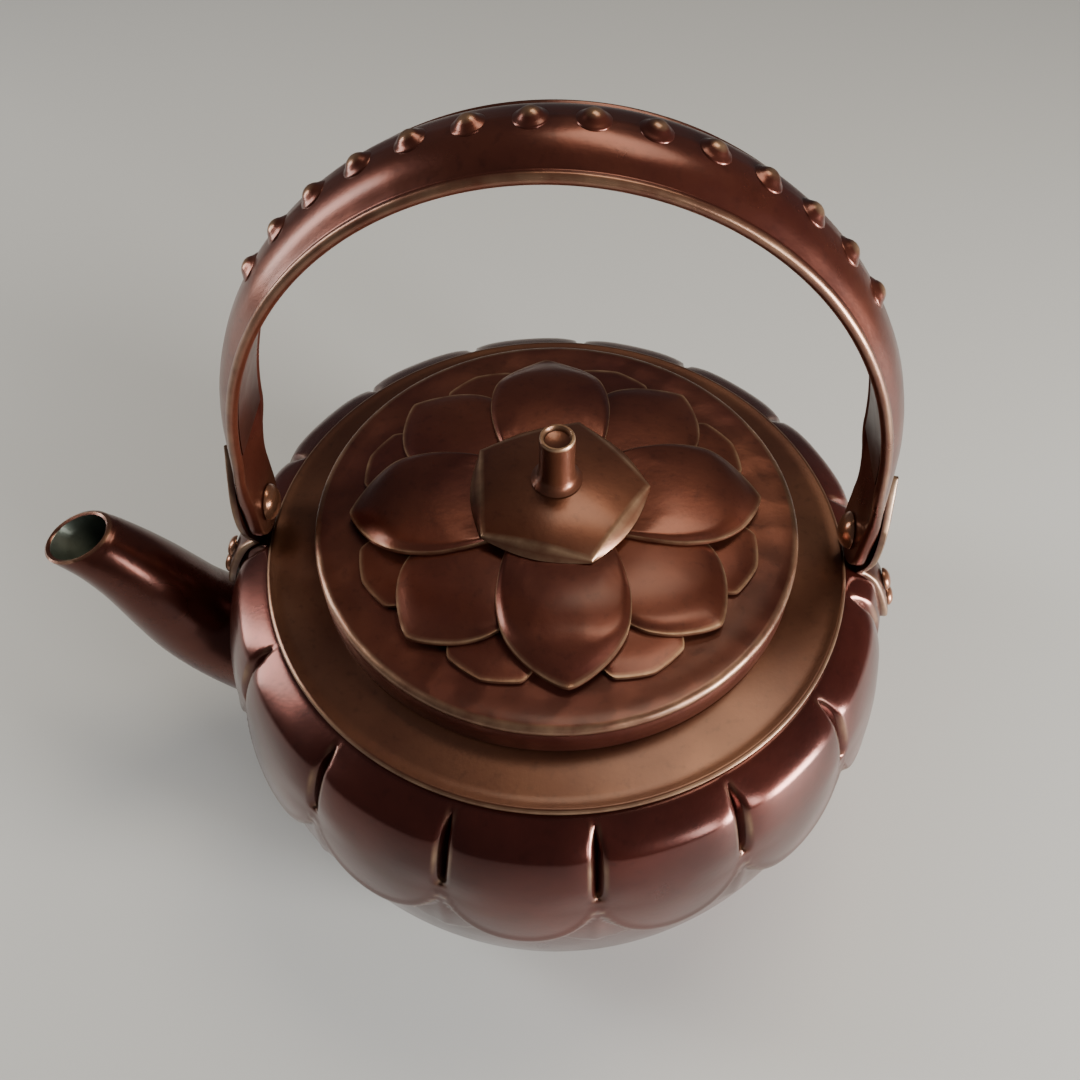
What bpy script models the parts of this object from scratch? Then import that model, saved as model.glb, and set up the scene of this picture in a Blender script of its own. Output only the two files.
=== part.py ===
# Copper kettle with a lotus body, a lotus lid and a swinging bail handle.
# Built in metres, +Z up, standing on z = 0 with the body's axis on the Z axis.
# The spout points along -X and the bail swings about an axis parallel to X.
import math

import bmesh
import bpy
import numpy as np

MM = 0.001
GAP = 0.3                       # clearance between neighbouring pieces, mm

# body
BASE_R = 56.0                   # flat of the base
BELLY_R = 90.0                  # widest point of the plain bowl
BELLY_Z = 68.0
CREASE_R = 75.2                 # edge of the shoulder
CREASE_Z = 109.0
WALL = 1.7                      # sheet thickness of the bowl
PETALS = 15                     # petals round the body
PETAL_PHASE = math.radians(15.6)    # angle of one groove between two petals
PETAL_TOP_Z = 107.0             # the petals rise out of the bowl below this height
PETAL_TIP_Z = 66.0              # lowest point of the round petal ends
PORT_R = 12.5                   # hole in the bowl behind the spout

# lid
LID_R = 62.0
LID_FOOT_Z = 110.7
LID_RIM_Z = 120.9
MOUTH_R = 57.6                  # clear opening of the shoulder's collar
ROSETTE_R = 52.6
SHEET = 1.1                     # thickness of the petal sheets
CAP_R = 23.4
CAP_Z = 134.9
STEM_R = 4.4
STEM_TOP_Z = 150.0
FLOWER_TURN = math.radians(6.2)     # the lid sits turned a little

# bail handle
PIVOT_Z = 119.5
ARCH_A = 79.5                   # half span of the bail at its widest
ARCH_MID_Z = 140.0
ARCH_TOP_Z = 232.3
LEG_OUT = 79.0                  # outer face of the bail's flat ends
LEG_IN = 75.5
THORNS = 14
THORN_STEP = 8.0                # degrees of the arch between two thorns

# ears that carry the bail
EAR_IN = 79.5
EAR_OUT = 81.8
EAR_TOP_Z = 141.0
EAR_FOOT_Z = 86.0
PIN_R = 2.5
RIVET_Z = (97.0, 90.0)          # heights of the two rivets in an ear's foot
RIVET_FACE = 4.9                # underside of a rivet's head, out from the plain bowl
RIVET_SEAT = -2.1               # face of its inner head, measured the same way

# spout
SPOUT_ROOT_Z = 51.5
SPOUT_WALL = 1.5

COPPER = (0.26, 0.085, 0.055)
COPPER_DARK = (0.15, 0.05, 0.038)
COPPER_LIGHT = (0.40, 0.17, 0.10)


# ---------------------------------------------------------------- helpers
def clear_scene():
    for obj in list(bpy.data.objects):
        bpy.data.objects.remove(obj, do_unlink=True)


def copper(name, rgb, rough):
    mat = bpy.data.materials.new(name)
    mat.use_nodes = True
    bsdf = mat.node_tree.nodes["Principled BSDF"]
    bsdf.inputs["Base Color"].default_value = (rgb[0], rgb[1], rgb[2], 1.0)
    bsdf.inputs["Metallic"].default_value = 1.0
    bsdf.inputs["Roughness"].default_value = rough
    return mat


def add_object(name, verts, faces, mat, smooth_deg=32.0):
    """A closed mesh from millimetre points, with its normals turned outwards."""
    mesh = bpy.data.meshes.new(name)
    mesh.from_pydata([tuple(float(c) * MM for c in v) for v in verts], [], faces)
    bm = bmesh.new()
    bm.from_mesh(mesh)
    bmesh.ops.remove_doubles(bm, verts=bm.verts, dist=1e-7)
    bmesh.ops.recalc_face_normals(bm, faces=bm.faces)
    limit = math.radians(smooth_deg)
    for face in bm.faces:
        face.smooth = True
    for edge in bm.edges:
        if len(edge.link_faces) == 2:
            edge.smooth = edge.calc_face_angle() < limit
    bm.to_mesh(mesh)
    bm.free()
    mesh.materials.append(mat)
    obj = bpy.data.objects.new(name, mesh)
    bpy.context.scene.collection.objects.link(obj)
    return obj


def loft(rings, closed_path=False, caps=True):
    """Quads between rings of equal length; the ends are closed with one face each."""
    n = len(rings[0])
    verts = [p for ring in rings for p in ring]
    faces = []
    last = len(rings) if closed_path else len(rings) - 1
    for i in range(last):
        a = i * n
        b = ((i + 1) % len(rings)) * n
        for j in range(n):
            k = (j + 1) % n
            faces.append((a + j, a + k, b + k, b + j))
    if caps and not closed_path:
        faces.append(tuple(range(n - 1, -1, -1)))
        faces.append(tuple(range((len(rings) - 1) * n, len(rings) * n)))
    return verts, faces


def turn(profile, count, axis="z", centre=(0.0, 0.0, 0.0), spin=0.0):
    """A solid of revolution from a closed profile of (radius, height) points.

    A point with radius 0 becomes a pole, so the profile may start and end there.
    """
    verts = []
    index = []
    for r, h in profile:
        if r < 1e-9:
            index.append([len(verts)] * count)
            verts.append((0.0, 0.0, h))
            continue
        row = []
        for i in range(count):
            a = spin + 2.0 * math.pi * i / count
            row.append(len(verts))
            verts.append((r * math.cos(a), r * math.sin(a), h))
        index.append(row)
    faces = []
    poles = profile[0][0] < 1e-9 and profile[-1][0] < 1e-9
    rows = len(profile) - 1 if poles else len(profile)
    for k in range(rows):
        a = index[k]
        b = index[(k + 1) % len(profile)]
        for i in range(count):
            j = (i + 1) % count
            loop = []
            for v in (a[i], a[j], b[j], b[i]):
                if v not in loop:
                    loop.append(v)
            if len(loop) >= 3:
                faces.append(tuple(loop))
    if axis == "x":
        verts = [(z, x, y) for x, y, z in verts]
    verts = [(v[0] + centre[0], v[1] + centre[1], v[2] + centre[2]) for v in verts]
    return verts, faces


def cut(target, verts, faces, name):
    """Subtract a closed cutter from an object."""
    tool = add_object(name, verts, faces, target.data.materials[0])
    tool.hide_render = True
    tool.display_type = 'WIRE'
    mod = target.modifiers.new(name, 'BOOLEAN')
    mod.operation = 'DIFFERENCE'
    mod.solver = 'EXACT'
    mod.object = tool


def smoothstep(t):
    t = min(1.0, max(0.0, t))
    return t * t * (3.0 - 2.0 * t)


# ---------------------------------------------------------------- the bowl
def bowl_profile(n_low, n_high):
    """Points (r, z) from the base's edge up over the belly to the top flange."""
    pts = []
    for i in range(n_low + 1):
        t = (i / n_low) * math.pi / 2.0
        r = BASE_R + (BELLY_R - BASE_R) * math.sin(t) ** 0.92
        z = BELLY_Z * (1.0 - math.cos(t) ** 1.0)
        pts.append((r, z))
    top_r = CREASE_R + 0.6
    top_z = CREASE_Z - 1.9
    for i in range(1, n_high + 1):
        t = (i / n_high) * math.pi / 2.0
        r = top_r + (BELLY_R - top_r) * math.cos(t) ** 1.12
        z = BELLY_Z + (top_z - BELLY_Z) * math.sin(t)
        pts.append((r, z))
    return pts


def bowl_radius(z):
    """Radius of the plain bowl at a height."""
    pts = bowl_profile(24, 24)
    rs = [p[0] for p in pts]
    zs = [p[1] for p in pts]
    return float(np.interp(z, zs, rs))


def petal_relief(angle, z):
    """How far the petalled surface stands out from the plain bowl, in mm."""
    pitch = 2.0 * math.pi / PETALS
    phase = ((angle - PETAL_PHASE) / pitch) % 1.0
    u = abs(2.0 * phase - 1.0)          # 0 on a petal's middle, 1 in the groove
    if z > CREASE_Z - 2.0 or z < 30.0:
        return 0.0
    end_z = PETAL_TIP_Z + 15.0 * u ** 3.0
    inside = smoothstep((z - end_z) / 2.6)
    bulge = 1.0 - u ** 2.6
    along = smoothstep((PETAL_TOP_Z - z) / 11.0)
    primary = 0.45 + 1.7 * bulge
    groove_len = smoothstep((z - (end_z - 1.0)) / 6.0)
    groove = -1.5 * smoothstep((u - 0.84) / 0.16) * groove_len
    secondary = 0.0
    v = 1.0 - u                          # 0 on the secondary petal's middle
    sec_end = 57.0 + 16.0 * v ** 1.6
    if z < end_z:
        secondary = 0.5 * smoothstep((z - sec_end) / 2.4) * (1.0 - 0.5 * v)
    relief = inside * (primary + groove) * along + (1.0 - inside) * secondary
    # the metal is plain where the spout is let in
    side = abs((angle % (2.0 * math.pi)) - math.pi)
    reach = math.hypot(side * BELLY_R, z - SPOUT_ROOT_Z)
    return relief * smoothstep((reach - 26.0) / 6.0)


def square_to_bowl(profile, count, side, z, spin):
    """A turned form whose axis stands square to the bowl's slope at a height.

    Heights in the profile are measured outwards from the plain bowl.
    """
    slope = math.atan2(bowl_radius(z - 2.0) - bowl_radius(z + 2.0), 4.0)
    across, up = math.cos(slope), math.sin(slope)
    verts, faces = turn(profile, count, spin=spin)
    placed = []
    for x, y, h in verts:
        px = bowl_radius(z) + across * h - up * x
        placed.append((side * px, y, z + up * h + across * x))
    return placed, faces


def build_body(mat):
    per = 5
    count = PETALS * per
    prof = bowl_profile(6, 11)
    n = len(prof)
    normals = []
    for i in range(n):
        a = prof[max(0, i - 1)]
        b = prof[min(n - 1, i + 1)]
        tr, tz = b[0] - a[0], b[1] - a[1]
        length = math.hypot(tr, tz)
        normals.append((tz / length, -tr / length))
    normals[0] = (0.0, -1.0)
    outer = []
    inner = []
    for i, (r, z) in enumerate(prof):
        nr, nz = normals[i]
        ring_o = []
        ring_i = []
        for k in range(count):
            a = PETAL_PHASE + 2.0 * math.pi * k / count
            d = petal_relief(a, z)
            ro = r + nr * d
            zo = z + nz * d
            thick = WALL
            ri = r + nr * (0.75 * d - thick)
            zi = z + nz * (0.75 * d - thick)
            if i == 0:
                ri, zi = r - 1.0, thick
            ring_o.append((ro * math.cos(a), ro * math.sin(a), zo))
            ring_i.append((ri * math.cos(a), ri * math.sin(a), zi))
        outer.append(ring_o)
        inner.append(ring_i)
    # a flange turned inwards carries the shoulder
    flange = []
    top_z = prof[-1][1]
    for r, z in ((CREASE_R - 1.2, top_z + 0.25), (67.5, top_z + 0.3), (67.5, top_z - WALL + 0.3)):
        flange.append([(r * math.cos(PETAL_PHASE + 2.0 * math.pi * k / count),
                        r * math.sin(PETAL_PHASE + 2.0 * math.pi * k / count), z)
                       for k in range(count)])
    top_in = []
    for k in range(count):
        a = PETAL_PHASE + 2.0 * math.pi * k / count
        top_in.append(((CREASE_R - 1.6) * math.cos(a), (CREASE_R - 1.6) * math.sin(a),
                       top_z - WALL + 0.1))
    inner[-1] = top_in
    kept = [ring for i, ring in enumerate(inner) if i % 2 == 0 or i == len(inner) - 1]
    rings = outer + flange + kept[::-1]
    verts, faces = loft(rings, caps=False)
    base_o = len(verts)
    verts.append((0.0, 0.0, 0.0))
    base_i = len(verts)
    verts.append((0.0, 0.0, WALL))
    last = (len(rings) - 1) * count
    for k in range(count):
        j = (k + 1) % count
        faces.append((base_o, j, k))
        faces.append((base_i, last + k, last + j))
    body = add_object("body_shell", verts, faces, mat, 24.0)
    # the way through to the spout, and the rivet holes of the two ears
    v, f = turn([(0.0, -104.0), (PORT_R, -104.0), (PORT_R, -70.0), (0.0, -70.0)], 28, "x",
                (0.0, 0.0, SPOUT_ROOT_Z), 0.07)
    cut(body, v, f, "port_cutter")
    n_hole = 0
    for side in (-1.0, 1.0):
        for z in RIVET_Z:
            v, f = square_to_bowl([(0.0, -8.0), (1.75, -8.0), (1.75, 12.0), (0.0, 12.0)],
                                  10, side, z, 0.13)
            cut(body, v, f, "rivet_cutter_%d" % n_hole)
            n_hole += 1
    return body


def build_shoulder(mat):
    """The shoulder sheet: rolled outer edge, gentle slope, collar down the mouth."""
    top_z = CREASE_Z - 1.9
    prof = [(MOUTH_R, 98.0), (MOUTH_R + 1.5, 98.0), (MOUTH_R + 1.5, 107.4), (61.0, 108.3),
            (66.5, top_z + 0.95), (73.6, top_z + 0.6), (CREASE_R + 0.35, top_z + 0.62),
            (CREASE_R + 0.95, top_z + 1.15), (CREASE_R + 0.75, top_z + 1.95),
            (CREASE_R - 0.3, top_z + 2.35), (73.4, 109.25), (67.5, 109.75), (60.6, 110.35),
            (MOUTH_R + 0.9, 110.2), (MOUTH_R, 109.3)]
    v, f = turn(prof, 48)
    return add_object("shoulder_plate", v, f, mat, 30.0)


# ---------------------------------------------------------------- the spout
SPOUT_LINE = [
    # x, z, radius of the tube along its middle line
    (-89.0, 51.5, 20.0), (-94.5, 52.3, 18.4), (-100.5, 54.9, 16.8), (-106.3, 59.4, 15.5),
    (-111.0, 65.4, 14.5), (-115.0, 72.8, 13.5), (-118.8, 80.2, 12.4), (-122.6, 86.6, 11.3),
    (-126.6, 92.0, 10.4), (-130.4, 96.2, 9.7), (-133.6, 99.3, 9.3)]
LIP_SLANT = 0.56                # the lip is cut nearer to level than square


def spout_stations():
    """Middle point, direction and radius of the spout from its root to its lip."""
    out = []
    for i, (x, z, radius) in enumerate(SPOUT_LINE):
        a = SPOUT_LINE[max(0, i - 1)]
        b = SPOUT_LINE[min(len(SPOUT_LINE) - 1, i + 1)]
        dx, dz = b[0] - a[0], b[1] - a[1]
        length = math.hypot(dx, dz)
        out.append(((x, z), (dx / length, dz / length), radius))
    return out


def surface_x(y, z):
    """Outer face of the bowl on the spout's side, at a y and a height."""
    r = bowl_radius(z)
    return -math.sqrt(max(1.0, r * r - y * y))


def build_spout(mat):
    seg = 24
    stations = spout_stations()
    outer = []
    inner = []
    for i, (c, d, radius) in enumerate(stations):
        up = (d[1], -d[0])
        ring_o = []
        ring_i = []
        for k in range(seg):
            a = 2.0 * math.pi * k / seg
            for ring, rad in ((ring_o, radius), (ring_i, radius - SPOUT_WALL)):
                y = rad * math.cos(a)
                h = rad * math.sin(a)
                x = c[0] + up[0] * h
                z = c[1] + up[1] * h
                if i == 0:
                    x = surface_x(y, z) - 0.65
                elif i == 1:
                    x = min(x, surface_x(y, z) - 2.6)
                if i == len(stations) - 1:
                    x -= d[0] * h * LIP_SLANT
                    z -= d[1] * h * LIP_SLANT
                ring.append((x, y, z))
        outer.append(ring_o)
        inner.append(ring_i)
    v, f = loft(outer + inner[::-1], closed_path=True)
    return add_object("spout", v, f, mat, 30.0)


def build_spout_collar(mat):
    seg = 24
    root_r = SPOUT_LINE[0][2]
    rings = []
    for rad, off in ((root_r + 0.35, 0.75), (root_r + 3.2, 0.75), (root_r + 3.2, 1.3),
                     (root_r + 2.0, 2.0), (root_r + 0.45, 2.0)):
        ring = []
        for k in range(seg):
            a = 2.0 * math.pi * k / seg
            y = rad * math.cos(a)
            z = SPOUT_ROOT_Z + rad * math.sin(a)
            ring.append((surface_x(y, z) - off, y, z))
        rings.append(ring)
    v, f = loft(rings, closed_path=True)
    return add_object("spout_collar", v, f, mat, 30.0)


# ---------------------------------------------------------------- ears
def ear_half_width(z):
    zs = [EAR_FOOT_Z, 87.2, 90.0, 95.0, 100.0, 104.0, 107.5, 112.0, 118.0, 124.0, 130.0,
          136.0, 139.5, EAR_TOP_Z]
    ws = [1.6, 4.4, 6.0, 6.4, 5.4, 4.4, 4.6, 7.0, 9.4, 9.7, 8.1, 4.6, 1.9, 0.7]
    return float(np.interp(z, zs, ws))


def build_ear(name, side, mat):
    """A leaf-shaped ear: its foot lies on the bowl, its blade stands beside the bail."""
    zs = [EAR_FOOT_Z, 87.2, 90.0, 93.0, 96.0, 100.0, 104.0, 107.5, 110.0, 113.0, 118.0,
          122.0, 126.0, 130.0, 134.0, 137.5, 139.8, EAR_TOP_Z]
    rings = []
    thick = EAR_OUT - EAR_IN
    for z in zs:
        w = ear_half_width(z)
        foot = bowl_radius(z) + 2.5
        inner = max(EAR_IN, foot) if z < 112.0 else EAR_IN
        if 104.0 < z < 112.0:
            inner = max(EAR_IN, bowl_radius(min(z, 107.0)) + 2.5)
        outer = inner + thick
        ring = []
        for u, x in ((-1.0, inner), (0.0, inner), (1.0, inner), (1.0, outer - 0.5),
                     (0.72, outer), (0.0, outer), (-0.72, outer), (-1.0, outer - 0.5)):
            ring.append((side * x, u * w, z))
        rings.append(ring)
    v, f = loft(rings)
    ear = add_object(name, v, f, mat, 30.0)
    v, f = turn([(0.0, side * 75.0), (PIN_R + GAP, side * 75.0), (PIN_R + GAP, side * 95.0),
                 (0.0, side * 95.0)], 16, "x", (0.0, 0.0, PIVOT_Z), 0.11)
    cut(ear, v, f, name + "_bore")
    for i, z in enumerate(RIVET_Z):
        v, f = square_to_bowl([(0.0, -8.0), (1.75, -8.0), (1.75, 12.0), (0.0, 12.0)],
                              10, side, z, 0.13)
        cut(ear, v, f, "%s_hole_%d" % (name, i))
    return ear


def build_rivet(name, side, z, mat):
    """A rivet through the ear's foot and the bowl, domed outside, flat inside."""
    face = RIVET_FACE
    seat = RIVET_SEAT
    prof = [(0.0, seat - 1.2), (2.6, seat - 0.9), (3.0, seat), (1.45, seat), (1.45, face), (3.0, face),
            (2.7, face + 0.8), (1.6, face + 1.4), (0.0, face + 1.6)]
    v, f = square_to_bowl(prof, 10, side, z, 0.0)
    return add_object(name, v, f, mat, 40.0)


def build_pin(name, side, mat):
    """The bail's pivot pin: domed head inside the leg, peened over outside the ear."""
    head = LEG_IN - GAP
    out = EAR_OUT + GAP
    prof = [(0.0, side * (head - 2.9)), (2.4, side * (head - 2.6)), (4.1, side * (head - 1.6)),
            (4.9, side * (head - 0.4)), (4.9, side * head), (PIN_R, side * head),
            (PIN_R, side * out), (4.0, side * out), (3.7, side * (out + 0.9)),
            (2.2, side * (out + 1.5)), (0.0, side * (out + 1.7))]
    v, f = turn(prof, 14, "x", (0.0, 0.0, PIVOT_Z))
    return add_object(name, v, f, mat, 40.0)


# ---------------------------------------------------------------- the bail
def bail_path(n):
    """Points, outward normals and shape factors along the bail's crest.

    Runs from the end below the left pivot, over the top, to the right one.
    """
    half = []
    for z, x in ((PIVOT_Z - 8.4, LEG_OUT), (PIVOT_Z - 8.0, LEG_OUT), (PIVOT_Z - 6.6, LEG_OUT),
                 (PIVOT_Z - 3.6, LEG_OUT), (PIVOT_Z, LEG_OUT), (PIVOT_Z + 5.0, LEG_OUT),
                 (PIVOT_Z + 10.0, LEG_OUT + 0.1), (PIVOT_Z + 15.0, LEG_OUT + 0.3)):
        half.append((-x, z))
    b = ARCH_TOP_Z - ARCH_MID_Z
    for i in range(n + 1):
        t = (i / n) * math.pi / 2.0
        half.append((-ARCH_A * math.cos(t), ARCH_MID_Z + b * math.sin(t)))
    path = half + [(-x, z) for x, z in half[-2::-1]]
    pts = np.array(path)
    out = []
    for i, (x, z) in enumerate(path):
        a = pts[max(0, i - 1)]
        c = pts[min(len(path) - 1, i + 1)]
        d = (c - a) / np.linalg.norm(c - a)
        normal = np.array((-d[1], d[0]))
        if z < ARCH_MID_Z:
            normal = np.array((math.copysign(1.0, x), 0.0))
        out.append((np.array((x, z)), normal, z))
    return out


# half of the bail's section as (across, depth) pairs, from the crest round to the inside
SECTION_OPEN = [(0.0, 0.0), (3.6, -0.45), (6.8, -1.7), (9.3, -3.5), (10.0, -3.9),
                (11.0, -3.6), (11.9, -4.4), (11.8, -5.5), (10.8, -6.2), (9.6, -5.8),
                (8.9, -4.9), (6.4, -3.1), (3.4, -2.0), (0.0, -1.6)]
SECTION_FLAT = [(0.0, 0.0), (3.6, 0.0), (6.4, 0.0), (8.2, -0.15), (8.6, -0.25),
                (8.9, -0.5), (9.2, -1.2), (9.2, -2.3), (8.9, -3.0), (8.5, -3.4),
                (7.8, -3.5), (5.6, -3.5), (3.0, -3.5), (0.0, -3.5)]


def bail_section(z):
    """Half widths and depths of the bail's channel section at a height."""
    m = 1.0 - smoothstep((z - (PIVOT_Z + 8.0)) / 22.0)
    w = 1.0
    low = PIVOT_Z - 8.4
    if z < PIVOT_Z:
        t = (z - PIVOT_Z) / (PIVOT_Z - low)
        w = max(0.16, math.sqrt(max(0.0, 1.0 - t * t)))
    pts = []
    for (u0, v0), (u1, v1) in zip(SECTION_OPEN, SECTION_FLAT):
        pts.append((((1 - m) * u0 + m * u1) * w, (1 - m) * v0 + m * v1))
    full = pts + [(-u, v) for u, v in pts[-2:0:-1]]
    return full


def build_bail_crown(mat):
    rings = []
    for c, normal, z in bail_path(12):
        ring = []
        for u, v in bail_section(z):
            x = c[0] + normal[0] * v
            zz = c[1] + normal[1] * v
            ring.append((x, u, zz - PIVOT_Z))
        rings.append(ring)
    v, f = loft(rings)
    crown = add_object("bail_crown", v, f, mat, 28.0)
    for side, label in ((-1.0, "left"), (1.0, "right")):
        v, f = turn([(0.0, side * 70.0), (PIN_R + GAP, side * 70.0),
                     (PIN_R + GAP, side * 90.0), (0.0, side * 90.0)], 14, "x",
                    (0.0, 0.0, PIVOT_Z), 0.11)
        cut(crown, v, f, "bail_bore_" + label)
    return crown


def build_bail_liner(mat):
    rings = []
    for c, normal, z in bail_path(12):
        if z < ARCH_MID_Z + 8.0:
            continue
        ring = []
        for u, v in ((-8.4, -5.2), (8.4, -5.2), (9.1, -6.0), (-9.1, -6.0)):
            ring.append((c[0] + normal[0] * v, u, c[1] + normal[1] * v - PIVOT_Z))
        rings.append(ring)
    v, f = loft(rings)
    return add_object("bail_liner", v, f, mat, 28.0)


def build_thorn(index, mat):
    """One blunt thorn on the bail's crest, like those of a lotus stalk."""
    t = math.radians(90.0 + (index - (THORNS - 1) / 2.0) * THORN_STEP)
    b = ARCH_TOP_Z - ARCH_MID_Z
    x = ARCH_A * math.cos(t)
    z = ARCH_MID_Z + b * math.sin(t)
    nx = math.cos(t) / ARCH_A
    nz = math.sin(t) / b
    length = math.hypot(nx, nz)
    nx, nz = nx / length, nz / length
    prof = [(0.0, 0.3), (2.4, 0.3), (2.1, 0.65), (1.5, 1.15), (0.8, 1.5), (0.0, 1.6)]
    verts, faces = turn(prof, 8)
    placed = []
    for px, py, pz in verts:
        placed.append((x + nx * pz + nz * px, py, z + nz * pz - nx * px - PIVOT_Z))
    return add_object("thorn_%02d" % (index + 1), placed, faces, mat, 50.0)


# ---------------------------------------------------------------- the lid
def rosette_base(r):
    """Height of the lowest petal sheet's upper face along the lid's radius."""
    return 124.4 - 2.0 * (r / ROSETTE_R) ** 2


def build_lid_disc(mat):
    top = []
    for r in (3.0, 20.0, 36.0, 52.8):
        top.append((r, rosette_base(r) - 1.45))
    top += [(57.5, 120.95), (60.6, LID_RIM_Z), (61.6, 120.5), (LID_R, 119.4), (LID_R, LID_FOOT_Z),
            (60.4, LID_FOOT_Z), (60.4, 118.6), (57.5, 119.35)]
    for r in (52.8, 36.0, 20.0, 3.0):
        top.append((r, rosette_base(r) - 1.45 - 1.5))
    v, f = turn(top, 48)
    return add_object("lid_disc", v, f, mat, 30.0)


def build_lid_ring(mat):
    prof = [(55.2, 100.5), (56.4, 100.5), (56.9, 101.6), (56.9, 118.9), (55.2, 119.05)]
    v, f = turn(prof, 48)
    return add_object("lid_locating_ring", v, f, mat, 30.0)


PETAL_R = [21.0, 28.0, 35.0, 42.0, 46.5, 50.0, 52.0, ROSETTE_R]
PETAL_W = [17.0, 18.0, 18.0, 15.8, 11.6, 6.0, 2.0, 0.0]


def main_petal_reach(off):
    """Outline radius of a large petal at an angle away from its middle."""
    angs = [math.atan2(w, r) for r, w in zip(PETAL_R, PETAL_W)]
    return float(np.interp(abs(off), angs[::-1], PETAL_R[::-1]))


def small_petal_reach(off):
    a = abs(off) / math.radians(22.5)
    return ROSETTE_R - 4.6 * a ** 1.2 - 11.0 * smoothstep((a - 0.44) / 0.42)


def build_sheet(name, lobes, phase, reach, lift, dome, droop, seg, mat):
    """One sheet of the rosette: lobes petals cut in one round of copper."""
    fracs = (0.0, 0.5, 0.85, 1.0)
    top = []
    low = []
    for q in fracs:
        ring_t = []
        ring_b = []
        for k in range(seg):
            a = phase + 2.0 * math.pi * k / seg
            pitch = 2.0 * math.pi / lobes
            off = ((a - phase + pitch / 2.0) % pitch) - pitch / 2.0
            edge = reach(off)
            r = 3.2 + (edge - 3.2) * q
            z = rosette_base(r) + lift + dome * (1.0 - q ** 3)
            drop = droop * smoothstep((r - 42.0) / 10.5)
            x, y = r * math.cos(a), r * math.sin(a)
            ring_t.append((x, y, z - drop))
            ring_b.append((x, y, rosette_base(r) + lift - SHEET - drop))
        top.append(ring_t)
        if q != 0.5:
            low.append(ring_b)
    v, f = loft(top + low[::-1], closed_path=True)
    return add_object(name, v, f, mat, 28.0)


def build_cap(mat):
    """The five-cornered cap at the flower's middle."""
    seg = 40
    phase = FLOWER_TURN
    pitch = 2.0 * math.pi / 5.0
    inner = CAP_R * math.cos(math.pi / 5.0)
    rings = []
    floor = 129.5

    def dome(r):
        return CAP_Z - 4.2 * (r / CAP_R) ** 1.9

    for kind, q in (("low", 3.2), ("low", 0.6), ("low", 1.0), ("crease", 1.0), ("crease", 0.72),
                    ("crease", 0.42), ("top", 3.2)):
        ring = []
        for k in range(seg):
            a = phase + 2.0 * math.pi * k / seg
            off = ((a - phase) % pitch) - pitch / 2.0
            chord = inner / math.cos(off)
            bow = chord + 2.6 * math.cos(off / (pitch / 2.0) * math.pi / 2.0) ** 0.8 + 0.15
            if kind == "low":
                r = q if q > 1.0 else bow * q
                z = floor
            elif kind == "crease":
                r = chord * q
                z = dome(r)
            else:
                r = q
                z = dome(r)
            ring.append((r * math.cos(a), r * math.sin(a), z))
        rings.append(ring)
    v, f = loft(rings, closed_path=True)
    return add_object("calyx_cap", v, f, mat, 24.0)


def build_stem(mat):
    """The knob: a cut lotus stalk, hollow at the top, peened under the lid."""
    z0 = CAP_Z + GAP
    prof = [(0.0, 116.6), (2.6, 116.8), (4.6, 117.6), (4.6, 118.6), (2.6, 118.6), (2.6, z0),
            (5.9, z0), (5.0, z0 + 0.7), (STEM_R, z0 + 2.4), (STEM_R - 0.1, STEM_TOP_Z - 0.6),
            (STEM_R - 0.4, STEM_TOP_Z), (STEM_R - 1.2, STEM_TOP_Z),
            (STEM_R - 1.5, STEM_TOP_Z - 1.4), (0.0, STEM_TOP_Z - 1.7)]
    v, f = turn(prof, 20)
    return add_object("stem_knob", v, f, mat, 40.0)


def build_washer(mat):
    prof = [(3.0, 118.9), (8.5, 118.9), (8.5, 120.0), (3.0, 120.0)]
    v, f = turn(prof, 20)
    return add_object("stem_washer", v, f, mat, 30.0)


# ---------------------------------------------------------------- assembly
def main():
    clear_scene()
    build_body(copper("mat_body", COPPER, 0.32))
    build_shoulder(copper("mat_shoulder", COPPER, 0.34))
    build_spout(copper("mat_spout", COPPER, 0.3))
    build_spout_collar(copper("mat_spout_collar", COPPER_DARK, 0.35))
    for label, side in (("left", -1.0), ("right", 1.0)):
        build_ear("ear_" + label, side, copper("mat_ear_" + label, COPPER_DARK, 0.3))
        for i, z in enumerate(RIVET_Z):
            name = "ear_rivet_%s_%d" % (label, i + 1)
            build_rivet(name, side, z, copper("mat_" + name, COPPER_LIGHT, 0.3))
        name = "pivot_pin_" + label
        build_pin(name, side, copper("mat_" + name, COPPER_LIGHT, 0.28))
    bail = [build_bail_crown(copper("mat_bail_crown", COPPER, 0.3)),
            build_bail_liner(copper("mat_bail_liner", COPPER_DARK, 0.35))]
    for i in range(THORNS):
        bail.append(build_thorn(i, copper("mat_thorn_%02d" % (i + 1), COPPER_LIGHT, 0.3)))
    for obj in bail:
        obj.location = (0.0, 0.0, PIVOT_Z * MM)
    build_lid_disc(copper("mat_lid_disc", COPPER, 0.34))
    build_lid_ring(copper("mat_lid_ring", COPPER_DARK, 0.4))
    build_sheet("petals_small", 8, FLOWER_TURN + math.radians(22.5), small_petal_reach, 0.0, 0.35, 0.0, 72,
                copper("mat_petals_small", COPPER, 0.32))
    build_sheet("petals_lower", 4, FLOWER_TURN + math.radians(45.0), main_petal_reach, 1.85, 0.75, 0.5, 72,
                copper("mat_petals_lower", COPPER, 0.32))
    build_sheet("petals_upper", 4, FLOWER_TURN, main_petal_reach, 4.0, 0.85, 2.4, 72,
                copper("mat_petals_upper", COPPER, 0.32))
    build_cap(copper("mat_calyx_cap", COPPER, 0.3))
    build_stem(copper("mat_stem_knob", COPPER, 0.3))
    build_washer(copper("mat_stem_washer", COPPER_DARK, 0.4))


main()
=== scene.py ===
# Looks for the copper kettle: patinated lotus body, lotus lid, spout and thorned bail.
# Lengths are in millimetres in the shape code and become metres in mesh_object.
import math

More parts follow.
